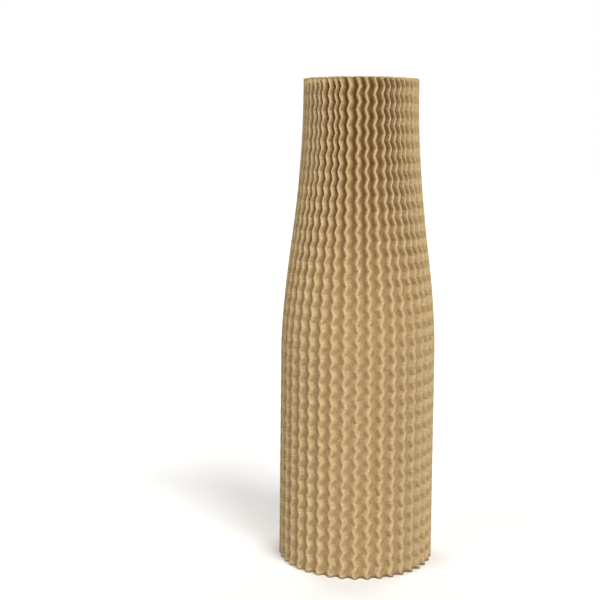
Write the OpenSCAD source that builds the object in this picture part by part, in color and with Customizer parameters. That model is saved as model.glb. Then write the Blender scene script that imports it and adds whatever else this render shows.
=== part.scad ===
// Corrugated bottle sleeve: a tube of fluted kraft paper whose flutes zigzag as they rise.
// The origin is at the middle of the foot, +Z is up the sleeve and -Y is its front. Sizes are in millimetres.

/* [Sleeve] */
// Height of the sleeve
sleeve_h = 280; // [200:1:305]
// Diameter over the flutes where the body ends and the shoulder starts
body_d = 90; // [80:0.2:110]
// Extra diameter at the foot
foot_flare = 1.2; // [0:0.2:4]
// Diameter over the flutes at the mouth
mouth_d = 65.8; // [56:0.2:80]
// Height at which the wall starts to draw in to the shoulder
shoulder_z = 123; // [60:1:180]
// How early the shoulder draws in: 2 is an even S-curve, and more draws in sooner
shoulder_ease = 2.55; // [2:0.05:3]

/* [Flutes] */
// Thickness of the paper
paper_t = 0.5; // [0.3:0.05:0.8]
// Number of flutes around the sleeve
flute_count = 39; // [24:1:42]
// Depth of a flute at the body
body_flute_depth = 2.6; // [1.5:0.1:3.5]
// Depth of a flute at the mouth, where the flutes close up
mouth_flute_depth = 4.4; // [2:0.1:5]
// Share by which the flutes crowd together at the mouth, on both sides of the front
mouth_gather = 0.31; // [0:0.01:0.4]

/* [Zigzag] */
// Height of one zigzag, from a left corner to the next
zigzag_pitch = 8.36; // [7.8:0.02:20]
// Sideways travel of a crest between a left corner and a right one
crest_swing = 1; // [0.2:0.1:1.6]
// Sideways travel of a valley, which swings further than the crests
valley_swing = 2; // [1:0.1:2.6]
// Share of both travels that is left at the mouth, where the flutes close up
mouth_swing_share = 0.8; // [0.5:0.05:1]
// Height of the first left corner above the foot
first_corner_z = 2.6; // [1:0.1:4]

/* [Seam] */
// Number of flutes that lie double at the glued seam at the back
lap_flutes = 2; // [1:1:4]

/* [Hidden] */
kraft_brown = "#c2a26d";

// A crest line and a valley line run up each flute.
line_count = 2 * flute_count;
line_angle = 360 / line_count;
half_wave = zigzag_pitch / 2;
degrees_per_radian = 180 / PI;

// The last corner keeps at least this share of a half wave below the mouth.
edge_share = 0.4;
corner_count = ceil((sleeve_h - first_corner_z) / half_wave - edge_share);
corner_z = [for (k = [0 : corner_count - 1]) first_corner_z + k * half_wave];
outer_z = concat([0], corner_z, [sleeve_h]);

// The inner face has straight flutes between the first and the last corner, so it needs few rings there.
last_corner_z = corner_z[corner_count - 1];
shoulder_bands = 4;
shoulder_rings = [for (i = [0 : shoulder_bands - 1])
    shoulder_z + (last_corner_z - shoulder_z) * i / shoulder_bands];
straight_z = concat([first_corner_z], shoulder_rings, [last_corner_z]);
chord_samples = [0.25, 0.5, 0.75];

// Value at share u of the way from a to b.
function blend(a, b, u) = a + (b - a) * u;

// How far the wall has drawn in at height z: 0 on the body, 1 at the mouth, level at both ends.
function drawn_in(z) =
    let (s = max(0, (z - shoulder_z) / (sleeve_h - shoulder_z)))
    1 - pow(1 - s, shoulder_ease) * (1 + shoulder_ease * s);

// Radius over the crests: a slight taper up the body, then the shoulder curve to the mouth.
function crest_r(z) =
    (body_d + foot_flare * max(0, 1 - z / shoulder_z) - (body_d - mouth_d) * drawn_in(z)) / 2;

function flute_depth(z) = blend(body_flute_depth, mouth_flute_depth, drawn_in(z));
function line_r(i, z) = crest_r(z) - (i % 2) * flute_depth(z);

// Place of the zigzag at height z: -1 at a left corner, 1 at a right one, straight between them.
function zigzag(z) =
    let (u = (z - first_corner_z) / half_wave)
    1 - 2 * abs((u % 2 + 2) % 2 - 1);
function swing(i, z) = blend(crest_swing, valley_swing, i % 2) * blend(1, mouth_swing_share, drawn_in(z));
function zigzag_shift(i, z) = swing(i, z) / 2 * zigzag(z) / crest_r(z) * degrees_per_radian;

// Angle of line i from the front. Towards the mouth the lines crowd into the two front quarters.
function line_turn(i, z) =
    let (even_turn = i * line_angle)
    even_turn - mouth_gather * drawn_in(z) * degrees_per_radian * sin(even_turn) * abs(sin(even_turn));

// Spacing at line i as a share of even spacing: the slope of the turn above.
function crowding(i, z) =
    let (even_turn = i * line_angle)
    1 - 2 * mouth_gather * drawn_in(z) * abs(sin(even_turn)) * cos(even_turn);

function point_at(turn, r, z) = [r * sin(turn), -r * cos(turn), z];

// Slope of a flute's flank beside line i.
function flank_slope(i, z) =
    let (half_flute = line_r(1, z) * line_angle / degrees_per_radian)
    flute_depth(z) / (half_flute * crowding(i, z));

// Paper thickness measured along the radius, twice over where the lap lies double at the back.
function paper_along_r(i, z) =
    let (layers = abs(i - flute_count) <= lap_flutes ? 2 : 1)
    layers * paper_t * sqrt(1 + pow(flank_slope(i, z), 2));

// Radius of a straight inner line that stays one paper thickness inside the zigzag at every corner,
// where the valley beside it has moved furthest.
function straight_r(i, z) = line_r(i, z) - paper_along_r(i, z) - flank_slope(i, z) * swing(1, z) / 2;

// Most by which line i, straight between two rings, would stand outside that radius.
function chord_rise(i, z0, z1) = max([for (u = chord_samples)
    max(0, blend(straight_r(i, z0), straight_r(i, z1), u) - straight_r(i, blend(z0, z1, u)))]);

// Room taken off line i on ring k of the straight stretch for the chords below and above it.
function chord_room(i, k) =
    let (below = k > 0 ? chord_rise(i, straight_z[k - 1], straight_z[k]) : 0)
    let (above = k < len(straight_z) - 1 ? chord_rise(i, straight_z[k], straight_z[k + 1]) : 0)
    max(below, above);

function outer_ring(z) = [for (i = [0 : line_count - 1])
    point_at(line_turn(i, z) + zigzag_shift(i, z), line_r(i, z), z)];

// Inner edge of a cut end, in step with the outer one: the true thickness of the paper shows there.
function rim_ring(z) = [for (i = [0 : line_count - 1])
    point_at(line_turn(i, z) + zigzag_shift(i, z), line_r(i, z) - paper_along_r(i, z), z)];

function straight_ring(k) =
    let (z = straight_z[k])
    [for (i = [0 : line_count - 1]) point_at(line_turn(i, z), straight_r(i, z) - chord_room(i, k), z)];

// Faces of a closed loop of rings: each ring joins the next, and the last joins the first.
function loop_faces(ring_count) = [for (k = [0 : ring_count - 1], i = [0 : line_count - 1])
    let (this_ring = k * line_count)
    let (next_ring = (k + 1) % ring_count * line_count)
    let (j = (i + 1) % line_count)
    each [
        [this_ring + i, next_ring + i, next_ring + j],
        [this_ring + i, next_ring + j, this_ring + j]
    ]];

// The fluted sheet: up the outer face, over the mouth, down the inner face and back under the foot.
module sleeve() {
    outer = [for (z = outer_z) outer_ring(z)];
    straight = [for (k = [len(straight_z) - 1 : -1 : 0]) straight_ring(k)];
    rings = concat(outer, [rim_ring(sleeve_h)], straight, [rim_ring(0)]);
    points = [for (ring = rings) each ring];
    color(kraft_brown) polyhedron(points, loop_faces(len(rings)));
}

sleeve();
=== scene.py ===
"""Corrugated bottle sleeve: a tube of zigzag-fluted kraft paper, dressed for a studio picture.

The sleeve is one sheet. Its flutes run up the tube and zigzag as they rise, they deepen and crowd
together where the sheet draws in to the mouth, and the sheet's two ends lap at the back.
Sizes are in millimetres until they go into a mesh or a pattern, which are in metres.
"""

from __future__ import annotations

import logging
import math
from dataclasses import dataclass
from enum import Enum
from typing import Any

import bpy
import numpy as np
from mathutils import Matrix, Vector

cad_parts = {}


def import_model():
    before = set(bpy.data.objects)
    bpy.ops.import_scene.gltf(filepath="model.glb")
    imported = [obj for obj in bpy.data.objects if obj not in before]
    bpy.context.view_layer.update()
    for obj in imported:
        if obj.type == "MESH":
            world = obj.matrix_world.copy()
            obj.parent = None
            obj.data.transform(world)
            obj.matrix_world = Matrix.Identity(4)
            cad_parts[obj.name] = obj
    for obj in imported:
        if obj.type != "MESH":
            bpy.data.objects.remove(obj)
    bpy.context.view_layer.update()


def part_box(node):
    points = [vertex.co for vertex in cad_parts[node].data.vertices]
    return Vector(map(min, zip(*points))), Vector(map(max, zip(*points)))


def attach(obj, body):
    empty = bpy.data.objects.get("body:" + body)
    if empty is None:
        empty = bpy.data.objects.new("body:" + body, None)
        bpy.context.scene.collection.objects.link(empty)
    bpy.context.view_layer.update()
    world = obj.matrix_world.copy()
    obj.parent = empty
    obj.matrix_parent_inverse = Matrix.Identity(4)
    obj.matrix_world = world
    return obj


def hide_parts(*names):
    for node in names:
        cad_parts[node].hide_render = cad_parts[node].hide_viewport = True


LOG = logging.getLogger("bottle_sleeve")
MM = 0.001
TURN = 2 * math.pi
# Mesh attribute that tells the paper's material how much painted shade to lay in the valleys.
PAINTED_SHADE_ATTRIBUTE = "painted_valley_shade"

Array = np.ndarray
Colour = tuple[float, float, float, float]
# Rows and columns of the outer face that the coarser inner face shares, as numpy.ix_ gives them.
SharedGrid = tuple[Array, ...]
Span = tuple[float, float]


class Edge(Enum):
    """A cut edge of the sheet that runs round the tube."""

    FOOT = "foot"
    MOUTH = "mouth"


def linear_colour(hex_value: str) -> Colour:
    """Turns an sRGB hex colour into linear RGBA, by the sRGB curve with its straight foot.

    Args:
        hex_value: Six hex digits, such as "c8ad7f".

    Returns:
        Linear red, green and blue, with an alpha of 1.
    """
    srgb = [int(hex_value[i : i + 2], 16) / 255 for i in (0, 2, 4)]
    red, green, blue = (c / 12.92 if c <= 0.04045 else ((c + 0.055) / 1.055) ** 2.4 for c in srgb)
    return (red, green, blue, 1.0)


def blend(start: float, end: float, share: Array) -> Array:
    """Value at a share of the way from start to end."""
    return start + (end - start) * share


def direction(to_the_right: float, above: float) -> Vector:
    """Unit vector from the sleeve to a place in front of it.

    Args:
        to_the_right: Degrees that the place lies to the right of the front.
        above: Degrees that it lies above the floor.

    Returns:
        The vector.
    """
    side, height = math.radians(to_the_right), math.radians(above)
    level = math.cos(height)
    return Vector((math.sin(side) * level, -math.cos(side) * level, math.sin(height)))


def add_node(
    tree: bpy.types.NodeTree,
    kind: str,
    settings: dict[str, Any] | None = None,
    values: dict[str | int, Any] | None = None,
    links: dict[str | int, bpy.types.NodeSocket] | None = None,
) -> bpy.types.Node:
    """Adds one node, with its settings, its socket values and the links into it.

    Args:
        tree: Node tree that gets the node.
        kind: Blender's type name of the node.
        settings: Properties of the node itself.
        values: Input socket, by name or number, to its value.
        links: Input socket, by name or number, to the output socket that feeds it.

    Returns:
        The new node.
    """
    node = tree.nodes.new(kind)
    for name, setting in (settings or {}).items():
        setattr(node, name, setting)
    for name, value in (values or {}).items():
        node.inputs[name].default_value = value
    for name, socket in (links or {}).items():
        tree.links.new(socket, node.inputs[name])
    return node


def bare_material(name: str) -> bpy.types.Material:
    """Makes a material whose node tree is still empty.

    Args:
        name: Name of the material.

    Returns:
        The material.
    """
    made = bpy.data.materials.new(name)
    made.use_nodes = True
    made.node_tree.nodes.clear()
    return made


def seen_directly(tree: bpy.types.NodeTree) -> bpy.types.NodeSocket:
    """Tells the rays that show a thing, straight, mirrored or through glass, from those that only light.

    Args:
        tree: Node tree that gets the nodes.

    Returns:
        Socket that is 1 for a camera, glossy or transmission ray and 0 for any other.
    """
    rays = add_node(tree, "ShaderNodeLightPath")
    mirrored = add_node(
        tree,
        "ShaderNodeMath",
        {"operation": "MAXIMUM"},
        links={0: rays.outputs["Is Glossy Ray"], 1: rays.outputs["Is Transmission Ray"]},
    )
    seen = add_node(
        tree,
        "ShaderNodeMath",
        {"operation": "MAXIMUM"},
        links={0: rays.outputs["Is Camera Ray"], 1: mirrored.outputs["Value"]},
    )
    return seen.outputs["Value"]


@dataclass(frozen=True)
class KraftPaper:
    """Unbleached kraft paper, rolled on a machine: matt and tan, clouded, with fibres and dark flecks.

    Its valleys carry painted shade, a darker, warmer brown that fades towards the crests. Sizes are in
    millimetres.
    """

    pulp: str = "e6cd9d"
    cloud: str = "b99354"
    fibre: str = "e4cfa6"
    # Painted shade: the darker, warmer brown laid into the valleys to stand in for their shade.
    painted_shade_colour: str = "72490e"
    fleck: str = "5a3d20"
    # Uncoated cellulose: matt, with a faint sheen at most.
    roughness: float = 0.88
    ior: float = 1.47
    # Clouds: changes in how thick the pulp lies, from thin to thick over a span of the noise.
    cloud_size: float = 1.8
    cloud_detail: float = 6.0
    cloud_roughness: float = 0.8
    cloud_span: Span = (0.34, 0.66)
    # Fibres: a real one is too thin to show, so they are drawn as coarser tufts along the sheet.
    fibre_width: float = 0.9
    fibre_length: float = 1.3
    fibre_detail: float = 2.0
    fibre_roughness: float = 0.55
    fibre_bend: float = 0.4
    fibre_span: Span = (0.45, 0.75)
    fibre_cover: float = 0.8
    # Flecks: bits of bark, one to a cell of the spacing, full out to the heart's share of their radius.
    fleck_spacing: float = 7.0
    fleck_radius: float = 0.35
    fleck_heart: float = 0.4
    fleck_cover: float = 0.7
    # Tooth: the slight roughness to the touch, drawn deeper than it is so that it shows.
    tooth_depth: float = 0.35
    tooth_strength: float = 0.6

    def material(self) -> bpy.types.Material:
        """Builds the paper's material on the sheet's own UV map, which is in metres.

        Clouded pulp lies lowest, then come the fibres, the painted shade of the valleys and the flecks.

        Returns:
            The material.
        """
        made = bare_material("kraft_paper")
        tree = made.node_tree
        sheet = add_node(tree, "ShaderNodeTexCoord").outputs["UV"]
        fibres = self.fibres(tree, sheet)
        fibre_share = add_node(
            tree,
            "ShaderNodeMapRange",
            values={
                "From Min": self.fibre_span[0],
                "From Max": self.fibre_span[1],
                "To Max": self.fibre_cover,
            },
            links={"Value": fibres},
        )
        fibrous = add_node(
            tree,
            "ShaderNodeMix",
            {"data_type": "RGBA"},
            {"B": linear_colour(self.fibre)},
            {"Factor": fibre_share.outputs["Result"], "A": self.clouded_pulp(tree, sheet)},
        )
        # Painted shade: the paper is mixed towards the darker brown where the mesh attribute says a valley
        # lies.
        painted_shade = add_node(tree, "ShaderNodeAttribute", {"attribute_name": PAINTED_SHADE_ATTRIBUTE})
        with_painted_shade = add_node(
            tree,
            "ShaderNodeMix",
            {"data_type": "RGBA"},
            {"B": linear_colour(self.painted_shade_colour)},
            {"Factor": painted_shade.outputs["Fac"], "A": fibrous.outputs["Result"]},
        )
        flecked = add_node(
            tree,
            "ShaderNodeMix",
            {"data_type": "RGBA"},
            {"B": linear_colour(self.fleck)},
            {"Factor": self.flecks(tree, sheet), "A": with_painted_shade.outputs["Result"]},
        )
        tooth = add_node(
            tree,
            "ShaderNodeBump",
            values={"Strength": self.tooth_strength, "Distance": self.tooth_depth * MM},
            links={"Height": fibres},
        )
        paper = add_node(
            tree,
            "ShaderNodeBsdfPrincipled",
            values={"Roughness": self.roughness, "IOR": self.ior},
            links={"Base Color": flecked.outputs["Result"], "Normal": tooth.outputs["Normal"]},
        )
        add_node(tree, "ShaderNodeOutputMaterial", links={"Surface": paper.outputs["BSDF"]})
        return made

    def clouded_pulp(self, tree: bpy.types.NodeTree, sheet: bpy.types.NodeSocket) -> bpy.types.NodeSocket:
        """Colour of the pulp, darker where it lies thin.

        Args:
            tree: Node tree that gets the nodes.
            sheet: Place on the flat sheet.

        Returns:
            Socket of the colour.
        """
        clouds = add_node(
            tree,
            "ShaderNodeTexNoise",
            values={
                "Scale": 1 / (self.cloud_size * MM),
                "Detail": self.cloud_detail,
                "Roughness": self.cloud_roughness,
            },
            links={"Vector": sheet},
        )
        thickness = add_node(
            tree,
            "ShaderNodeMapRange",
            values={"From Min": self.cloud_span[0], "From Max": self.cloud_span[1]},
            links={"Value": clouds.outputs["Fac"]},
        )
        clouded = add_node(
            tree,
            "ShaderNodeMix",
            {"data_type": "RGBA"},
            {"A": linear_colour(self.cloud), "B": linear_colour(self.pulp)},
            {"Factor": thickness.outputs["Result"]},
        )
        return clouded.outputs["Result"]

    def fibres(self, tree: bpy.types.NodeTree, sheet: bpy.types.NodeSocket) -> bpy.types.NodeSocket:
        """Noise drawn out along the sheet, high where a tuft of fibres lies.

        Args:
            tree: Node tree that gets the nodes.
            sheet: Place on the flat sheet.

        Returns:
            Socket of the noise.
        """
        along = add_node(
            tree,
            "ShaderNodeMapping",
            values={"Scale": (1 / (self.fibre_length * MM), 1 / (self.fibre_width * MM), 1.0)},
            links={"Vector": sheet},
        )
        tufts = add_node(
            tree,
            "ShaderNodeTexNoise",
            values={
                "Scale": 1.0,
                "Detail": self.fibre_detail,
                "Roughness": self.fibre_roughness,
                "Distortion": self.fibre_bend,
            },
            links={"Vector": along.outputs["Vector"]},
        )
        return tufts.outputs["Fac"]

    def flecks(self, tree: bpy.types.NodeTree, sheet: bpy.types.NodeSocket) -> bpy.types.NodeSocket:
        """How far a fleck covers the paper: full at its heart and nothing past its radius.

        Args:
            tree: Node tree that gets the nodes.
            sheet: Place on the flat sheet.

        Returns:
            Socket of the share.
        """
        cells = add_node(
            tree,
            "ShaderNodeTexVoronoi",
            values={"Scale": 1 / (self.fleck_spacing * MM)},
            links={"Vector": sheet},
        )
        cover = add_node(
            tree,
            "ShaderNodeMapRange",
            values={
                "From Min": self.fleck_heart * self.fleck_radius / self.fleck_spacing,
                "From Max": self.fleck_radius / self.fleck_spacing,
                "To Min": self.fleck_cover,
                "To Max": 0.0,
            },
            links={"Value": cells.outputs["Distance"]},
        )
        return cover.outputs["Result"]


@dataclass(frozen=True)
class StudioFloorPaint:
    """Matt white paint of a studio floor: a pale, even ground that keeps the soft shadow.

    It looks white, but throws back little light, so that it doesn't fill the flutes from below.
    """

    white: str = "f6f5f2"
    thrown_back: str = "1e1d1c"
    glow: float = 0.02

    def material(self) -> bpy.types.Material:
        """Builds the floor's material, white to the rays that see it and dark to those that light by it.

        Returns:
            The material.
        """
        made = bare_material("matt_white_paint")
        tree = made.node_tree
        show = seen_directly(tree)
        seen = add_node(
            tree,
            "ShaderNodeMix",
            {"data_type": "RGBA"},
            {"A": linear_colour(self.thrown_back), "B": linear_colour(self.white)},
            {"Factor": show},
        )
        paint = add_node(tree, "ShaderNodeBsdfDiffuse", links={"Color": seen.outputs["Result"]})
        glow = add_node(tree, "ShaderNodeMath", {"operation": "MULTIPLY"}, {1: self.glow}, {0: show})
        lit = add_node(tree, "ShaderNodeEmission", links={"Strength": glow.outputs["Value"]})
        both = add_node(
            tree,
            "ShaderNodeAddShader",
            links={0: paint.outputs["BSDF"], 1: lit.outputs["Emission"]},
        )
        add_node(tree, "ShaderNodeOutputMaterial", links={"Surface": both.outputs["Shader"]})
        return made


def grid_faces(index: Array) -> list[list[int]]:
    """Quads of a grid of point numbers: each point with its right neighbour and the two above them.

    Args:
        index: Point numbers, row by row.

    Returns:
        The faces.
    """
    quads = np.stack([index[:-1, :-1], index[:-1, 1:], index[1:, 1:], index[1:, :-1]], axis=-1)
    return quads.reshape(-1, 4).tolist()


def end_faces(outer: Array, inner: Array, shared_rows: Array) -> list[list[int]]:
    """Cut faces up the sheet's last column: each joins one inner step to the outer steps beside it.

    Args:
        outer: Point numbers up the outer face.
        inner: Point numbers up the inner face.
        shared_rows: Rows of the outer face that the inner points lie on.

    Returns:
        The faces.
    """
    bands = zip(shared_rows[:-1], shared_rows[1:], inner[:-1], inner[1:])
    return [[int(a), int(b), *outer[low : high + 1][::-1].tolist()] for low, high, a, b in bands]


def on_both_faces(values: Array, shared: SharedGrid) -> Array:
    """Lists what the outer points hold, and then what the inner points take over from them.

    Args:
        values: A number or a row of numbers for each outer point, on the grid.
        shared: Rows and columns that the inner face shares.

    Returns:
        The values in the order of the mesh's points.
    """
    row = values.shape[2:]
    return np.concatenate([values.reshape(-1, *row), values[shared].reshape(-1, *row)])


@dataclass
class FlutedSleeve:
    """The sheet of zigzag flutes, bent to a tube and lapped at the back.

    Sizes are in millimetres, and places along the sheet are counted in flutes from the front.
    """

    height: float
    # Tube: diameters over the flutes, and where and how early the shoulder draws in.
    body_d: float = 90.0
    foot_flare: float = 1.2
    mouth_d: float = 65.8
    shoulder_z: float = 123.0
    shoulder_ease: float = 2.55
    paper_t: float = 0.5
    # Flutes: their depths, how they crowd at the mouth, and the degrees by which the mouth is turned.
    flute_count: int = 39
    body_flute_depth: float = 2.6
    mouth_flute_depth: float = 4.4
    mouth_gather: float = 0.31
    mouth_twist: float = -2.5
    # Section: how squared off a flute is, and how much narrower its crest is than its valley.
    fold_tightness: float = 1.7
    crest_lean: float = 0.38
    # Zigzag: sideways travel, the share of it left at the mouth, and the bulge between the creases.
    zigzag_pitch: float = 8.36
    first_corner_z: float = 2.6
    crest_swing: float = 1.4
    valley_swing: float = 1.6
    mouth_swing_share: float = 0.95
    flank_lobe: float = 0.55
    # Painted shade: the brown painted at the bottom of a valley, and the power by which it fades towards
    # the crest.
    body_painted_shade: float = 0.46
    mouth_painted_shade: float = 0.95
    body_painted_shade_power: float = 0.7
    mouth_painted_shade_power: float = 0.85
    # Unevenness: sideways wander, spread of the depth, and the slow waves that both are made of.
    body_wander: float = 0.07
    mouth_wander: float = 0.3
    depth_spread: float = 0.06
    wander_waves: int = 9
    wander_fewest_around: int = 4
    wander_height: float = 160.0
    wander_seed: int = 11
    # Cuts: the lap at the back, the air in it, and how ragged the mouth is.
    lap_flutes: int = 2
    lap_gap: float = 0.05
    mouth_burr: float = 0.3
    # Mesh: columns of a flute, the step of the inner face's columns, and how far from a corner, in half
    # waves, the rows beside it lie.
    column_places: tuple[float, ...] = (0.0, 0.13, 0.21, 0.29, 0.37, 0.5, 0.63, 0.71, 0.79, 0.87)
    inner_column_step: int = 2
    corner_reach: float = 0.2

    @property
    def half_wave(self) -> float:
        """Height from a corner of the zigzag to the next."""
        return self.zigzag_pitch / 2

    def drawn_in(self, z: Array) -> Array:
        """How far the wall has drawn in: 0 on the body and 1 at the mouth.

        With s the share of the way from the shoulder to the mouth and n the ease, it is
        1 - (1 - s)^n (1 + n s), which is level at both ends.

        Args:
            z: Heights above the foot.

        Returns:
            The share at each height.
        """
        s = np.clip((z - self.shoulder_z) / (self.height - self.shoulder_z), 0, 1)
        return 1 - (1 - s) ** self.shoulder_ease * (1 + self.shoulder_ease * s)

    def crest_radius(self, z: Array) -> Array:
        """Radius over the crests: a slight taper up the body, then the shoulder curve to the mouth.

        Args:
            z: Heights above the foot.

        Returns:
            The radius at each height.
        """
        flare = self.foot_flare * np.clip(1 - z / self.shoulder_z, 0, 1)
        return (self.body_d + flare - (self.body_d - self.mouth_d) * self.drawn_in(z)) / 2

    def zigzag(self, flute: Array, z: Array) -> Array:
        """Place of the zigzag, from -1 at a left corner to 1 at a right one.

        With p a quarter turn for each half wave above the first corner, a flank that faces right follows
        2 |sin p| - 1, in lobes that bulge to the right between sharp creases. One that faces left follows
        1 - 2 |cos p|. Crests and valleys take the mean of the two, which is nearly a triangle wave.

        Args:
            flute: Places along the sheet.
            z: Heights above the foot.

        Returns:
            The place of each point.
        """
        p = math.pi / 2 * (z - self.first_corner_z) / self.half_wave
        right_lobes = 2 * np.abs(np.sin(p)) - 1
        left_lobes = 1 - 2 * np.abs(np.cos(p))
        faces_right = (1 + self.flank_lobe * np.sin(TURN * flute)) / 2
        return faces_right * right_lobes + (1 - faces_right) * left_lobes

    def fold(self, flute: Array) -> Array:
        """Section of a flute: 1 on its crest and 0 in its valley.

        It is the tanh of a cosine less the crest's lean, which squares the wave off and leaves the crests
        narrower than the valleys.

        Args:
            flute: Places along the sheet.

        Returns:
            The height of the flute as a share of its depth.
        """
        k, lean = self.fold_tightness, self.crest_lean
        low, high = math.tanh(k * (-1 - lean)), math.tanh(k * (1 - lean))
        return (np.tanh(k * (np.cos(TURN * flute) - lean)) - low) / (high - low)

    def uneven(self, flute: Array, z: Array, salt: int) -> Array:
        """Slow waves round the tube and up it, about 1 in spread, for flutes that were never quite even.

        It is a sum of cosines, each with a whole number of waves round the tube, so that the lap meets.

        Args:
            flute: Places along the sheet.
            z: Heights above the foot.
            salt: Number that sets one sum of waves apart from another.

        Returns:
            The sum at each place.
        """
        draw = np.random.default_rng(self.wander_seed + salt)
        around = draw.integers(self.wander_fewest_around, self.flute_count // 2, self.wander_waves)
        rise = draw.uniform(-1, 1, self.wander_waves) / self.wander_height
        start = draw.uniform(0, 1, self.wander_waves)
        total = np.zeros(np.broadcast(flute, z).shape)
        for waves, slope, phase in zip(around, rise, start):
            total += np.cos(TURN * (waves * flute / self.flute_count + slope * z + phase))
        return total * math.sqrt(2 / self.wander_waves)

    def outer_face(self, flute: Array, z: Array) -> Array:
        """Points of the outer face before the lap, as a tube about the Z axis with its front on -Y.

        The turn from the front is the flute's share of a circle, less the crowding at the mouth, which is
        the gather times the sine of that turn times its size, plus the twist and the sideways shifts over
        the radius.

        Args:
            flute: Places along the sheet.
            z: Heights above the foot.

        Returns:
            The points, with x, y and z on the last axis.
        """
        share = self.drawn_in(z)
        crest = self.crest_radius(z)
        fold = self.fold(flute)
        depth = blend(self.body_flute_depth, self.mouth_flute_depth, share)
        depth = depth * (1 + self.depth_spread * self.uneven(flute, z, 1))
        radius = crest - depth * (1 - fold)
        swing = blend(self.valley_swing, self.crest_swing, fold) * blend(1.0, self.mouth_swing_share, share)
        wander = blend(self.body_wander, self.mouth_wander, share)
        shift = swing / 2 * self.zigzag(flute, z) + wander * self.uneven(flute, z, 0)
        even_turn = TURN * flute / self.flute_count
        bunched = np.sin(even_turn) * np.abs(np.sin(even_turn))
        twist = math.radians(self.mouth_twist)
        turn = even_turn + share * (twist - self.mouth_gather * bunched) + shift / crest
        return np.stack([radius * np.sin(turn), -radius * np.cos(turn), z], axis=-1)

    def outward(self, flute: Array, z: Array) -> Array:
        """Unit normals of the outer face, from the cross product of its two slopes.

        Args:
            flute: Places along the sheet.
            z: Heights above the foot.

        Returns:
            The normals, pointing out of the tube.
        """
        # Small steps to either side: in flutes along the sheet, and in millimetres up it.
        step_along = 0.01
        step_up = 0.05
        along = self.outer_face(flute + step_along, z) - self.outer_face(flute - step_along, z)
        up = self.outer_face(flute, z + step_up) - self.outer_face(flute, z - step_up)
        normal = np.cross(along, up)
        return normal / np.linalg.norm(normal, axis=-1, keepdims=True)

    def painted_shade(self, flute: Array, z: Array) -> Array:
        """How much painted shade the paper takes: 0 on a crest and most in a valley.

        It is half of one less the cosine along the flute, to a power below 1 that takes it up the flanks,
        times the most for that height.

        Args:
            flute: Places along the sheet.
            z: Heights above the foot.

        Returns:
            The share at each place.
        """
        share = self.drawn_in(z)
        most = blend(self.body_painted_shade, self.mouth_painted_shade, share)
        power = blend(self.body_painted_shade_power, self.mouth_painted_shade_power, share)
        return most * ((1 - np.cos(TURN * flute)) / 2) ** power

    def columns(self) -> Array:
        """Places of the columns: those of one flute, repeated for each flute and centred on the front.

        Returns:
            The places along the sheet, from one end of the lap to the other.
        """
        count = self.flute_count + self.lap_flutes
        places = np.arange(count)[:, None] + np.array(self.column_places)
        return np.append(places.ravel(), count) - count / 2

    def rows(self) -> tuple[Array, Array]:
        """Heights of the rows: one on each corner of the zigzag and one on either side of it.

        Returns:
            The heights, and the numbers of the rows that the inner face shares: corners and both edges.
        """
        count = math.floor((self.height - self.first_corner_z) / self.half_wave)
        beside = np.array([-self.corner_reach, 0.0, self.corner_reach])
        corner = np.arange(count + 1)[:, None] + beside
        heights = (self.first_corner_z + corner * self.half_wave).ravel()
        on_corner = np.tile(beside == 0, count + 1)
        spare = self.corner_reach * self.half_wave / 2
        inside = (heights > spare) & (heights < self.height - spare)
        corners = 1 + np.flatnonzero(on_corner[inside])
        heights = np.concatenate([[0.0], heights[inside], [self.height]])
        return heights, np.concatenate([[0], corners, [len(heights) - 1]])

    def lap_depth(self, flute: Array) -> Array:
        """How far inside the tube the sheet lies: one layer under the lap, easing out over the next flute.

        With e the share of that flute that is still to go, the ease is e^2 (3 - 2 e).

        Args:
            flute: Places along the sheet.

        Returns:
            The depth at each place.
        """
        past = flute - flute.min() - self.lap_flutes
        e = np.clip(1 - past, 0, 1)
        return (self.paper_t + self.lap_gap) * e * e * (3 - 2 * e)

    def build(self, finish: KraftPaper) -> bpy.types.Object:
        """Makes the sheet as one closed mesh: a fine outer face, a coarser inner one and four cut edges.

        The inner face lies a paper thickness inside the outer one, measured level, so that the foot stays
        flat. The mouth is cut a little ragged: each of its points drops by a random amount.

        Args:
            finish: The paper.

        Returns:
            The object, at the origin.
        """
        columns = self.columns()
        rows, shared_rows = self.rows()
        shared = np.ix_(shared_rows, np.arange(0, len(columns), self.inner_column_step))
        flute, z = np.meshgrid(columns, rows)
        burr = np.random.default_rng(self.wander_seed).normal(0, self.mouth_burr, len(columns))
        z[-1] -= np.abs(burr)
        level = self.outward(flute, z) * np.array([1.0, 1.0, 0.0])
        outer = self.outer_face(flute, z) - self.lap_depth(flute)[..., None] * level
        inner = (outer - self.paper_t * level)[shared]
        points = np.concatenate([outer.reshape(-1, 3), inner.reshape(-1, 3)]) * MM
        outer_index, inner_index = np.split(np.arange(len(points)), [flute.size])
        outer_index = outer_index.reshape(outer.shape[:2])
        inner_index = inner_index.reshape(inner.shape[:2])
        rolled = grid_faces(outer_index) + grid_faces(inner_index[:, ::-1])
        cut = self.cut_faces(outer_index, inner_index, shared_rows)
        mesh = bpy.data.meshes.new("sleeve_paper")
        mesh.from_pydata(points.tolist(), [], rolled + cut)
        mesh.polygons.foreach_set("use_smooth", np.repeat([True, False], [len(rolled), len(cut)]))
        self.unroll(mesh, flute, z, shared)
        # Painted shade for each point, stored as the attribute that the paper's material reads.
        painted_shade = on_both_faces(self.painted_shade(flute, z), shared).astype(np.float32)
        mesh.attributes.new(PAINTED_SHADE_ATTRIBUTE, "FLOAT", "POINT").data.foreach_set("value", painted_shade)
        mesh.materials.append(finish.material())
        mesh.update()
        sleeve = bpy.data.objects.new("sleeve_paper", mesh)
        bpy.context.scene.collection.objects.link(sleeve)
        return sleeve

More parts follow.
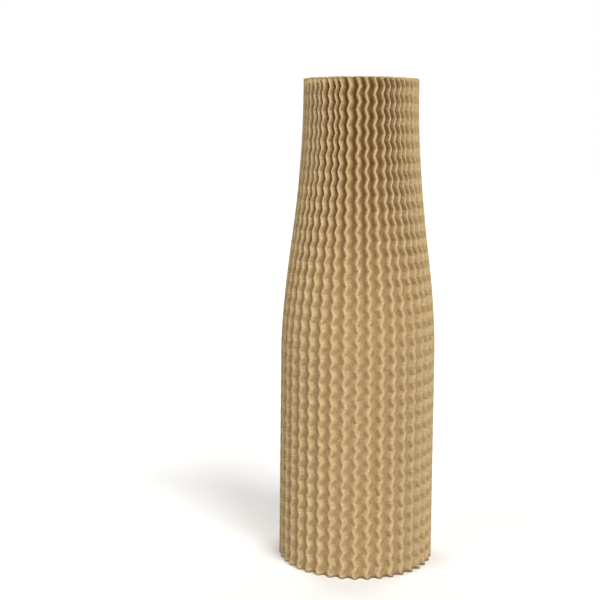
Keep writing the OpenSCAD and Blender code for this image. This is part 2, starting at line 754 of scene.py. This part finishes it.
    def cut_faces(self, outer: Array, inner: Array, shared_rows: Array) -> list[list[int]]:
        """Faces of the sheet's four cut edges: the foot, the mouth and both ends of the lap.

        Args:
            outer: Point numbers of the outer face, row by row.
            inner: Point numbers of the inner face, row by row.
            shared_rows: Rows that the inner face shares.

        Returns:
            The faces.
        """
        faces = self.rim_faces(outer[0], inner[0], Edge.FOOT)
        faces += self.rim_faces(outer[-1], inner[-1], Edge.MOUTH)
        faces += end_faces(outer[:, -1], inner[:, -1], shared_rows)
        faces += [face[::-1] for face in end_faces(outer[:, 0], inner[:, 0], shared_rows)]
        return faces

    def rim_faces(self, outer: Array, inner: Array, edge: Edge) -> list[list[int]]:
        """Cut faces along the foot or the mouth: each joins one inner step to the outer steps over it.

        Args:
            outer: Point numbers along the outer face.
            inner: Point numbers along the inner face.
            edge: Which edge it is.

        Returns:
            The faces, looking down at the foot and up at the mouth.
        """
        step = self.inner_column_step
        lines = [outer[k : len(outer) - step + k : step] for k in range(step + 1)]
        loops = np.stack([*lines, inner[1:], inner[:-1]], axis=-1)
        return (loops if edge is Edge.MOUTH else loops[:, ::-1]).tolist()

    def unroll(self, mesh: bpy.types.Mesh, flute: Array, z: Array, shared: SharedGrid) -> None:
        """Gives the mesh a UV map of the flat sheet, in metres along it and up it.

        A flute's flat length is that of its two flanks, taken as straight.

        Args:
            mesh: The sheet's mesh.
            flute: Places of the outer points along the sheet.
            z: Heights of the outer points.
            shared: Rows and columns that the inner face shares.
        """
        half_pitch = math.pi * self.body_d / 2 / self.flute_count
        flute_length = 2 * math.hypot(half_pitch, self.body_flute_depth)
        flat = on_both_faces(np.stack([flute * flute_length, z], axis=-1) * MM, shared)
        corner_points = np.empty(len(mesh.loops), dtype=np.int32)
        mesh.loops.foreach_get("vertex_index", corner_points)
        layer = mesh.uv_layers.new(name="flat_sheet")
        layer.data.foreach_set("uv", flat[corner_points].astype(np.float32).ravel())


@dataclass(frozen=True)
class PictureCamera:
    """Camera at the picture's viewing angle, in front of the sleeve.

    Sizes are in millimetres and angles in degrees: how far it looks down, to the left and off level.
    """

    distance: float = 651.0
    height: float = 247.0
    down: float = 8.25
    left: float = 3.0
    roll: float = 0.39
    focal_pixels: float = 1124.0
    frame_pixels: float = 600.0
    sensor: float = 36.0

    def place(self) -> bpy.types.Object:
        """Makes the camera and turns it from its line of sight, its right and its roll.

        Returns:
            The camera.
        """
        ahead = -direction(self.left, self.down)
        left, roll = math.radians(self.left), math.radians(self.roll)
        level_right = Vector((math.cos(left), math.sin(left), 0.0))
        level_up = level_right.cross(ahead)
        right = math.cos(roll) * level_right + math.sin(roll) * level_up
        up = math.cos(roll) * level_up - math.sin(roll) * level_right
        data = bpy.data.cameras.new("picture_camera")
        data.sensor_width = self.sensor
        data.lens = self.focal_pixels / self.frame_pixels * self.sensor
        camera = bpy.data.objects.new("picture_camera", data)
        stand = Matrix.Translation(Vector((0.0, -self.distance, self.height)) * MM)
        camera.matrix_world = stand @ Matrix((right, up, -ahead)).transposed().to_4x4()
        bpy.context.scene.collection.objects.link(camera)
        bpy.context.scene.camera = camera
        return camera


@dataclass(frozen=True)
class SoftLamp:
    """A large, far soft box that lights floor and sleeve evenly. Angles are in degrees."""

    name: str
    to_the_right: float
    above: float
    spread: float
    strength: float

    def hang(self) -> bpy.types.Object:
        """Makes the lamp, turned from its side of the front and its height above the floor.

        Returns:
            The lamp.
        """
        data = bpy.data.lights.new(self.name, "SUN")
        data.angle = math.radians(self.spread)
        data.energy = self.strength
        lamp = bpy.data.objects.new(self.name, data)
        seat = direction(self.to_the_right, self.above)
        lamp.location = seat
        lamp.rotation_euler = (-seat).to_track_quat("-Z", "Y").to_euler()
        bpy.context.scene.collection.objects.link(lamp)
        return lamp


@dataclass(frozen=True)
class Studio:
    """White floor, white surroundings and soft lamps: three in front, and two for the back."""

    floor_half: float = 6000.0
    lamps: tuple[SoftLamp, ...] = (
        SoftLamp("key_lamp", to_the_right=38.0, above=48.0, spread=26.0, strength=2.05),
        SoftLamp("front_lamp", to_the_right=14.0, above=14.0, spread=26.0, strength=1.35),
        SoftLamp("left_lamp", to_the_right=-55.0, above=30.0, spread=34.0, strength=1.4),
        SoftLamp("back_right_lamp", to_the_right=145.0, above=30.0, spread=40.0, strength=1.5),
        SoftLamp("back_left_lamp", to_the_right=-150.0, above=30.0, spread=40.0, strength=1.5),
    )

    def build(self) -> None:
        """Makes the floor, the lamps and the surroundings."""
        half = self.floor_half * MM
        corners = [(-half, -half, 0.0), (half, -half, 0.0), (half, half, 0.0), (-half, half, 0.0)]
        mesh = bpy.data.meshes.new("studio_floor")
        mesh.from_pydata(corners, [], [(0, 1, 2, 3)])
        mesh.materials.append(StudioFloorPaint().material())
        floor = bpy.data.objects.new("studio_floor", mesh)
        bpy.context.scene.collection.objects.link(floor)
        for lamp in self.lamps:
            lamp.hang()
        self.surround()

    def surround(self) -> None:
        """Shows plain white to the rays that see the surroundings, and gives no other light."""
        world = bpy.data.worlds.new("white_surround")
        world.use_nodes = True
        tree = world.node_tree
        tree.nodes.clear()
        white = add_node(
            tree,
            "ShaderNodeBackground",
            values={"Color": (1.0, 1.0, 1.0, 1.0)},
            links={"Strength": seen_directly(tree)},
        )
        add_node(tree, "ShaderNodeOutputWorld", links={"Surface": white.outputs["Background"]})
        bpy.context.scene.world = world


def main() -> None:
    """Builds the camera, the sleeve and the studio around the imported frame."""
    logging.basicConfig(level=logging.INFO, format="%(name)s: %(message)s")
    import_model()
    bpy.context.scene.view_settings.view_transform = "Standard"
    PictureCamera().place()
    foot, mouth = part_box("sleeve")
    sleeve = FlutedSleeve(height=(mouth.z - foot.z) / MM).build(KraftPaper())
    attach(sleeve, "root")
    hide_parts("sleeve")
    triangles = sum(len(face.vertices) - 2 for face in sleeve.data.polygons)
    LOG.info("sleeve_paper: %d triangles", triangles)
    Studio().build()
    LOG.info("studio: floor, surround and lamps")


if __name__ == "__main__":
    main()
